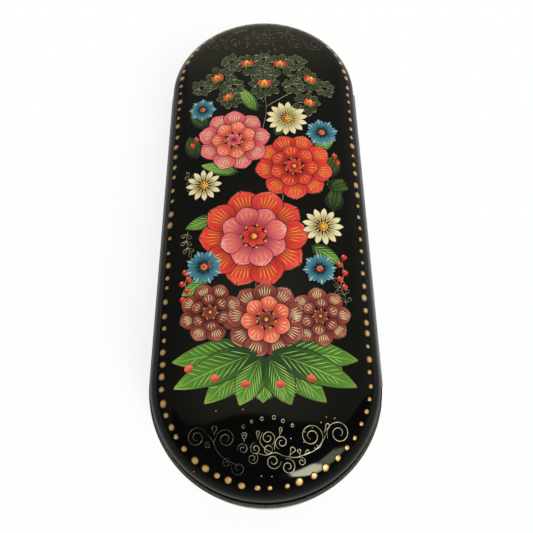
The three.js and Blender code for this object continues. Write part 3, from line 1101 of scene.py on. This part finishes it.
def daisy(art, x, y, radius, turn, rays):
    """A flat flower with narrow cream rays round a dotted yellow heart"""
    for i in range(rays):
        way = turn + i * 360 / rays
        px, py = placed(x, y, way, 0.24 * radius)
        length, width, layer = 0.76 * radius, 0.3 * radius, 5 + 1.2 * (i % 2)
        art.dab("umber", px, py, way, length + 0.25, width + 0.3, layer, 0.6, 0.06)
        art.dab("cream", px, py, way, length, width, layer + 0.4, 0.6, 0.06, steps=(1, 6))
        art.stroke("umber", *placed(x, y, way, 0.34 * radius), way, 0.34 * radius, 0.16, layer + 0.8)
    art.spot("umber", x, y, 0.3 * radius, 7.5)
    art.spot("yellow", x, y, 0.26 * radius, 8)
    for i in range(7):
        sx, sy = placed(x, y, turn + i * 360 / 7, 0.16 * radius)
        art.spot("umber", sx, sy, 0.045 * radius, 8.5)


def cornflower(art, x, y, radius, turn):
    """A ragged flower: wedges of three narrow blue strokes, tipped with pale ones"""
    for i in range(8):
        for offset in (-13, 0, 13):
            way = turn + i * 45 + offset
            px, py = placed(x, y, way, 0.18 * radius)
            reach, layer = (0.7 * radius, 5) if offset else (0.82 * radius, 5.6)
            art.dab("teal", px, py, way, reach, 0.24 * radius, layer, 0.72, steps=(1, 6))
        sx, sy = placed(x, y, turn + i * 45, 0.62 * radius)
        art.stroke("cream", sx, sy, turn + i * 45, 0.3 * radius, 0.32, 6.5)
    art.spot("vermilion", x, y, 0.2 * radius, 7)
    for i in range(6):
        sx, sy = placed(x, y, turn + 60 * i, 0.13 * radius)
        art.spot("yellow", sx, sy, 0.035 * radius + 0.06, 8)


def rosebud(art, x, y, size, turn):
    """A closed bud in its sepals, over the foliage"""
    for offset in (-24, 24):
        art.dab("vermilion", x, y, turn + offset, 1.9 * size, 1.15 * size, 11.5 + offset / 50, 0.55)
    art.dab("yellow", x, y, turn, 1.85 * size, 0.95 * size, 12.7)
    for offset in (-9, 0, 9):
        sx, sy = placed(x, y, turn + offset, 0.5 * size)
        art.stroke("vermilion", sx, sy, turn + offset, size, 0.24, 13.5)
    for offset in (-58, -20, 20, 58):
        art.stroke("leaf green", x, y, turn + offset, 0.95 * size, 0.5, 14)


def leaf(art, x, y, degrees, length, width, layer, body="leaf green", vein="light green", bend=0):
    """A leaf with a dark contour, a midrib and side strokes"""
    art.dab("umber", x, y, degrees, length + 0.3, width + 0.5, layer - 0.5, 0.42, bend=bend)
    art.dab(body, x, y, degrees, length, width, layer, 0.42, bend=bend, steps=(2, 10))

    def on_leaf(reach, side):
        across = side * width / 2 + bend * length * reach**2
        return placed(x, y, degrees, length * reach, across)

    way = degrees + math.degrees(bend) * 0.2
    art.stroke(vein, *on_leaf(0.06, 0), way, length * 0.86, 0.26, layer + 2, bend)
    veins = 5 if length < 12 else 8
    for i in range(veins):
        reach = 0.1 + 0.68 * i / veins
        lean = 32 + math.degrees(2 * bend * reach)
        # A side stroke ends well inside the leaf's edge, which is nearer further on
        half = width / 2 * math.sin(math.pi * (reach + 0.12) ** 0.8) ** 0.75
        for side in (-1, 1):
            foot = on_leaf(reach, 0.03 * side)
            art.stroke(vein, *foot, degrees + side * lean, 1.45 * half, 0.24, layer + 1.5)


# Double blossoms: place, radius, turn, pigments of the outer and inner petals and of the hatching, and petals
PEONIES = (
    (-15.2, -34.5, 8.6, 20, "red ochre", "red ochre", "cream", 8),
    (15.4, -36.0, 8.4, 5, "red ochre", "red ochre", "cream", 8),
    (0.4, -37.0, 11.0, 12, "red ochre", "coral", "cream", 9),
    (-3.0, -11.0, 16.0, 0, "vermilion", "rose", "yellow", 10),
    (9.6, 14.0, 12.0, 30, "vermilion", "vermilion", "yellow", 9),
    (-9.5, 24.5, 11.5, 8, "rose", "coral", "cream", 9),
)
# Daisies: place, radius, turn and rays. Cornflowers: place, radius and turn.
DAISIES = ((17.6, -7.5, 6.2, 0, 13), (7.8, 33.0, 6.8, 8, 14), (-18.6, 7.6, 5.6, 4, 12))
CORNFLOWERS = ((19.0, 27.5, 5.4, 10), (-17.5, -20.5, 5.6, 22), (-20.2, 37.5, 4.6, 0), (16.0, -21.5, 5.0, 5))


class SPECTACLE_OT_flowers(bpy.types.Operator):
    """Paint a spray of garden flowers over the middle of the lid"""

    bl_idname = "spectacle.flowers"
    bl_label = "Painted Flowers"

    def execute(self, context):
        art = Paintwork("painted_blossoms", 7)
        for entry in PEONIES:
            peony(art, *entry)
        art.finish()
        art = Paintwork("painted_small_flowers", 8)
        for entry in DAISIES:
            daisy(art, *entry)
        for entry in CORNFLOWERS:
            cornflower(art, *entry)
        art.finish()
        return {"FINISHED"}


# The fan of large leaves: foot, direction and length of each
FAN_FOOT = (0, -45.5)
FAN = ((184, 23), (200, 24), (219, 19), (243, 14), (270, 12), (297, 14), (321, 19), (340, 24), (356, 23))
# Leaves between the flowers, green and dark: place, direction and length
GREEN_LEAVES = (
    (-8, 12, 165, 12), (4, 26, 60, 12), (14, -14, -35, 10), (-14, -4, 200, 10), (-2, 36, 120, 12),
    (16, 20, 40, 9), (-16, -24, 215, 9),
)
DARK_LEAVES = ((-18, 30, 130, 9), (20, 10, 70, 9), (20, 6, 20, 6), (-21, 18, 110, 9), (21, -2, 80, 8))
# The row of small coral buds across the fan
CORAL_BUDS = (-20, -13, -5, 4, 12, 19)


class SPECTACLE_OT_leaves(bpy.types.Operator):
    """Paint the leaves round the flowers"""

    bl_idname = "spectacle.leaves"
    bl_label = "Painted Leaves"

    def execute(self, context):
        art = Paintwork("painted_leaves", 9)
        for i, (degrees, size) in enumerate(FAN):
            x, y = placed(*FAN_FOOT, degrees, 2)
            bend = 0.05 if degrees < 270 else -0.05
            leaf(art, x, y, degrees, size, 8.2, 0.6 + 2.6 * (i % 2), bend=bend)
        for entry in GREEN_LEAVES:
            leaf(art, *entry, 4.6, 0.4)
        for entry in DARK_LEAVES:
            leaf(art, *entry, 5.4, 0.2, "olive", "leaf green")
        for x in CORAL_BUDS:
            art.dab("coral", x, -56.2 + 0.012 * x * x, 90 - x, 2.2, 2.6, 7)
        art.finish()
        return {"FINISHED"}


# Rosebuds at the top of the spray, and rosettes of small dark leaves between them: place and size
ROSEBUDS = (
    (-14.5, 49.0, 2.6), (-5.0, 55.0, 2.5), (5.5, 54.5, 2.6), (15.0, 48.0, 2.5), (0.5, 45.5, 2.7),
    (-11.0, 40.6, 2.1), (14.5, 38.0, 2.3),
)
FOLIAGE = (
    (-21.0, 46.0, 2.0), (21.0, 45.0, 2.0), (-9.8, 45.8, 2.1), (10.2, 45.6, 2.1), (0.2, 58.0, 1.8),
    (-11.0, 57.0, 2.0), (11.5, 56.5, 2.0), (0.3, 51.4, 1.9),
)
# Open middle of a rosette with a bud and of one without, as shares of its size
BUD_ROOM, LEAF_ROOM = 0.55, 0.35
BERRIES = (
    (-23.2, -30.5), (-22.0, -27.8), (-23.6, -25.6), (-21.8, -24.2), (-23.0, -22.0), (22.8, -27.0),
    (21.6, -24.6), (23.2, -22.6), (21.8, -20.0), (23.2, -17.6), (-21.8, 25.4), (-23.0, 23.0), (22.6, 18.4),
    (23.4, 15.8),
)
# Gold sprigs: foot, direction and length. Gold stems: the points that each runs through.
SPRIGS = ((-23, 4, 70, 7), (23, 4, 100, 7), (-22.6, -8, 250, 7), (22.8, -33, 80, 7))
STEMS = (
    ((0, -46), (-3, -30), (2, -12), (6, 6), (0, 24), (1, 36), (0.5, 45)),
    ((0, 40), (3, 47), (5.5, 54)),
    ((0, 40), (-3, 48), (-5, 55)),
    ((1, 38), (8, 43), (15, 48)),
    ((0, 38), (-7, 43), (-14.5, 49)),
    ((-20, -33), (-22.6, -28), (-22.4, -22)),
    ((19, -30), (22.4, -25), (22.8, -18)),
    ((-17, 20), (-21, 24), (-22, 27)),
    ((18, 12), (22.5, 16), (22.6, 20)),
)
# How far the gold of the leaves' outlines and of the stems is rubbed thin
OUTLINE_WEAR, STEM_WEAR = 0.45, 0.35


class SPECTACLE_OT_berries(bpy.types.Operator):
    """Paint the rosebuds in their dark foliage, the berries and the gold stems"""

    bl_idname = "spectacle.berries"
    bl_label = "Buds and Berries"

    def foliage(self, art, work, width, x, y, size, seed, room, count=9):
        """A rosette of small dark leaves, each with a thin gold outline. Every second leaf lies over its
        neighbours."""
        for i in range(count):
            upper = i % 2
            way = seed * 13 + i * 360 / count + art.draw.uniform(-8, 8)
            foot = placed(x, y + 0.6 * size, way, room * size * (1 + 0.5 * upper))
            long = size * art.draw.uniform(1.25, 1.6)
            layer = 1 + 5 * upper
            art.dab("olive", *foot, way, long, 0.72 * long, layer, 0.55)
            art.stroke("moss", *foot, way, 0.8 * long, 0.3, layer + 2)
            # A leaf over this one hides the part of the outline that it covers
            lift = OUTLINE_LIFT + LAYER_LIFT * layer
            work.line(dab_edge(*foot, way, long, 0.68 * long, 0.55), 0.8 * width, 1, lift)

    def sprig(self, work, width, x, y, degrees, length):
        """A thin gold stem with three pairs of small leaves and one at its tip"""
        stem = [placed(x, y, degrees + 4 * i, length * i / 6) for i in range(7)]
        work.line(stem, 0.8 * width)
        leaves = [(i, degrees + 6 * i + side * 44) for i in (1, 3, 5) for side in (-1, 1)]
        for i, way in leaves + [(6, degrees + 36)]:
            work.line(bud(*stem[i], way, 0.3 * length, 0.085 * length, 8), 0.7 * width, 1)

    def execute(self, context):
        width = settings().gold.line / MM
        art = Paintwork("painted_buds", 10)
        outlines = LineWork("gold_leaf_outlines", 0)
        for seed, (x, y, size) in enumerate(FOLIAGE, len(ROSEBUDS)):
            self.foliage(art, outlines, width, x, y, size, seed, LEAF_ROOM)
        for seed, (x, y, size) in enumerate(ROSEBUDS):
            self.foliage(art, outlines, width, x, y, size, seed, BUD_ROOM)
            rosebud(art, x, y, 0.8 * size, 90 - 2 * x)
        for x, y in BERRIES:
            art.spot("vermilion", x, y, 0.95, 5)
            art.stroke("cream", x - 0.4, y + 0.1, 60, 0.7, 0.3, 7)
        art.finish()
        for entry in SPRIGS:
            self.sprig(outlines, width, *entry)
        outlines.finish(lambda x, y: OUTLINE_WEAR)
        work = LineWork("gold_tendrils")
        for stem in STEMS:
            work.line(smooth_path(stem), width)
        work.finish(lambda x, y: STEM_WEAR)
        return {"FINISHED"}


# The studio

# Lights of the room by direction from the case: setting, brightest direction, and the cosine at which it ends
GLOWS = (("wall", (-0.08, 0.92, 0.38), 0.84), ("ceiling", (-0.03, 0.25, 0.97), 0.93))
# The window's panes: setting, jambs in degrees of azimuth, heights of sill and head, and the sill's lean
PANES = (("window", (-72, -50), -0.84, 0.88, 1.29), ("blind", (-48, -33), 0.41, 0.84, 0))
# Height of the window's lowest edge, and the softness of its edges in degrees
WINDOW_FOOT, WINDOW_SOFT = 0.44, 2


class SPECTACLE_OT_studio(bpy.types.Operator):
    """Set the camera, the floor and the room round the case"""

    bl_idname = "spectacle.studio"
    bl_label = "Studio"

    def add_camera(self, studio):
        """A camera turned about a point on the seam's plane, as the photo was taken"""
        camera = bpy.data.objects.new("Camera", bpy.data.cameras.new("Camera"))
        camera.data.lens = studio.lens
        camera.data.sensor_width = 36
        camera.data.clip_start = 5 * MM
        turn = (
            Matrix.Rotation(studio.azimuth, 4, "Z")
            @ Matrix.Rotation(math.pi / 2 - studio.elevation, 4, "X")
            @ Matrix.Rotation(studio.roll, 4, "Z")
        )
        aim = Vector((studio.aim_x * MM, studio.aim_y * MM, SEAM))
        camera.matrix_world = Matrix.Translation(aim) @ turn @ Matrix.Translation((0, 0, studio.distance))
        bpy.context.scene.collection.objects.link(camera)
        bpy.context.scene.camera = camera

    def add_floor(self, studio):
        """A matt pale floor that shows as plain white, apart from a share that keeps the case's shadow"""
        bm = bmesh.new()
        bmesh.ops.create_circle(bm, cap_ends=True, segments=96, radius=studio.floor_radius)
        mesh = bpy.data.meshes.new("Floor")
        bm.to_mesh(mesh)
        bm.free()
        floor = bpy.data.objects.new("Floor", mesh)
        bpy.context.scene.collection.objects.link(floor)
        add = start_material("Matt pale floor")[0]
        paint = {"Base Color": (*studio.floor, 1), "Roughness": 0.9, "Specular IOR Level": 0.2}
        matt = add("BsdfPrincipled", paint)
        rays = add("LightPath").outputs
        seen = rays["Is Camera Ray"]
        for other in ("Is Glossy Ray", "Is Transmission Ray"):
            seen = add("Math", {0: seen, 1: rays[other]}, operation="MAXIMUM")
        share = add("Math", {0: seen, 1: studio.floor_white}, operation="MULTIPLY")
        white = add("Emission", {"Color": (1, 1, 1, 1), "Strength": 1.0})
        add("OutputMaterial", {"Surface": add("MixShader", {0: share, 1: matt, 2: white})})
        mesh.materials.append(bpy.data.materials["Matt pale floor"])

    def add_surroundings(self, studio):
        """A dim room: a lit wall beyond the far end, a dark corner behind the camera, and a tall window with
        two panes at the near right, all by direction from the case"""
        world = bpy.data.worlds.new("Studio")
        bpy.context.scene.world = world
        world.use_nodes = True
        world.node_tree.nodes.clear()
        add = partial(add_node, world.node_tree)
        plain = add("TexCoord").outputs["Generated"]
        x, y, z = add("SeparateXYZ", {"Vector": plain}).outputs

        # The room is a little brighter on the right, towards the window
        lit = add("Math", {0: x, 1: 0.12, 2: studio.room}, operation="MULTIPLY_ADD")
        glows = []
        for name, aim, reach in GLOWS:
            towards = add("VectorMath", {0: plain, 1: aim}, operation="DOT_PRODUCT").outputs["Value"]
            glows.append(add("MapRange", {"Value": towards, "From Min": reach, "From Max": 1.0}, **SOFT_STEP))
            lit = add("Math", {0: glows[-1], 1: getattr(studio, name), 2: lit}, operation="MULTIPLY_ADD")

        # The dark corner's edge is straight, with one bulge just left of the middle, and bends back at the
        # left
        aside = add("Math", {0: x, 1: 0.08}, operation="ADD")
        aside = add("Math", {0: aside}, operation="ABSOLUTE")
        bulge = add("Math", {0: aside, 1: 2.0}, operation="POWER")
        bulge = add("Math", {0: bulge, 1: -1.4, 2: 0.07}, operation="MULTIPLY_ADD")
        bulge = add("Math", {0: bulge, 1: 0.03}, operation="MAXIMUM")
        back = add("Math", {0: x, 1: 0.6}, operation="ADD")
        back = add("Math", {0: back, 1: 0.0}, operation="MINIMUM")
        past = add("Math", {0: bulge, 1: back}, operation="ADD")
        past = add("Math", {0: past, 1: y}, operation="SUBTRACT")
        behind = add("MapRange", {"Value": past, "From Min": -0.007, "From Max": 0.007}, **SOFT_STEP)
        raised = add("MapRange", {"Value": z, "From Min": 0.1, "From Max": 0.3}, **SOFT_STEP)
        dark = add("Math", {0: behind, 1: raised}, operation="MULTIPLY")
        dimming = add("Math", {0: studio.shade, 1: lit}, operation="SUBTRACT")
        level = add("Math", {0: dimming, 1: dark, 2: lit}, operation="MULTIPLY_ADD")

        # The window is seen through uneven lacquer, so its edges waver. The clear pane's sill leans up to the
        # left.
        ripple = add("TexNoise", {"Vector": plain, "Scale": 4.0, "Detail": 1.0}).outputs["Color"]
        centred = add("VectorMath", {0: ripple, 1: (0.5, 0.5, 0.5)}, operation="SUBTRACT")
        way = add("VectorMath", {0: centred, 1: (0.06, 0.06, 0.06), 2: plain}, operation="MULTIPLY_ADD")
        x, y, z = add("SeparateXYZ", {"Vector": way}).outputs
        azimuth = add("Math", {0: y, 1: x}, operation="ARCTAN2")
        soft = math.radians(WINDOW_SOFT)
        for name, jambs, sill, head, lean in PANES:
            low, high = map(math.radians, jambs)
            over = add("Math", {0: azimuth, 1: lean, 2: z}, operation="MULTIPLY_ADD")
            pane = getattr(studio, name)
            # What is measured, where an edge lies, and 1 where the pane is above it or -1 where it is below
            edges = (
                (azimuth, low, 1), (azimuth, high, -1), (over, sill, 1), (z, WINDOW_FOOT, 1), (z, head, -1)
            )
            for value, edge, side in edges:
                limits = {"From Min": edge - side * soft, "From Max": edge + side * soft}
                inside = add("MapRange", {"Value": value, **limits}, **SOFT_STEP)
                pane = add("Math", {0: inside, 1: pane}, operation="MULTIPLY")
            level = add("Math", {0: pane, 1: level}, operation="ADD")
        warmth = add("ValToRGB", {"Fac": glows[0]}, [(0, (1, 1, 1)), (1, (1, 0.95, 0.8))])
        add("OutputWorld", {"Surface": add("Background", {"Color": warmth, "Strength": level})})

    def execute(self, context):
        studio = settings().studio
        self.add_camera(studio)
        self.add_floor(studio)
        self.add_surroundings(studio)
        context.scene.view_settings.view_transform = "Standard"
        return {"FINISHED"}


PIECES = (
    SPECTACLE_OT_lid,
    SPECTACLE_OT_base,
    SPECTACLE_OT_linings,
    SPECTACLE_OT_hinge,
    SPECTACLE_OT_dot_border,
    SPECTACLE_OT_scrollwork,
    SPECTACLE_OT_flowers,
    SPECTACLE_OT_leaves,
    SPECTACLE_OT_berries,
    SPECTACLE_OT_studio,
)


class SPECTACLE_PT_panel(bpy.types.Panel):
    """Lists the steps of finishing the case"""

    bl_label = "Lacquer Case"
    bl_idname = "SPECTACLE_PT_panel"
    bl_space_type = "VIEW_3D"
    bl_region_type = "UI"
    bl_category = "Lacquer Case"

    def draw(self, context):
        for piece in PIECES:
            self.layout.operator(piece.bl_idname)


SETTINGS = (CaseShellSettings, HingeSettings, LiningSettings, GoldSettings, StudioSettings, CaseSettings)
CLASSES = SETTINGS + PIECES + (SPECTACLE_PT_panel,)


def register():
    for cls in CLASSES:
        bpy.utils.register_class(cls)
    bpy.types.Scene.spectacle_case = PointerProperty(type=CaseSettings)


def unregister():
    del bpy.types.Scene.spectacle_case
    for cls in reversed(CLASSES):
        bpy.utils.unregister_class(cls)


def main():
    """Makes the materials and then the pieces in their order"""
    register()
    for name, index in LID_LACQUERS.items():
        black_lacquer(name, index)
    black_lacquer("Brushed black lacquer", 1.3, dulling=0.12)
    rubbed_lacquer()
    red_lacquer()
    cotton_velvet()
    plated_steel()
    gold = settings().gold
    bronze_paint("Bronze powder gold", gold.gold, gold.gold_rim_shade)
    bronze_paint("Pale gold line", gold.pale_gold, gold.thin_gold)
    for pigment in PIGMENTS:
        tempera(pigment)
    for piece in PIECES:
        group, step = piece.bl_idname.split(".")
        getattr(getattr(bpy.ops, group), step)()


if __name__ == "__main__":
    main()
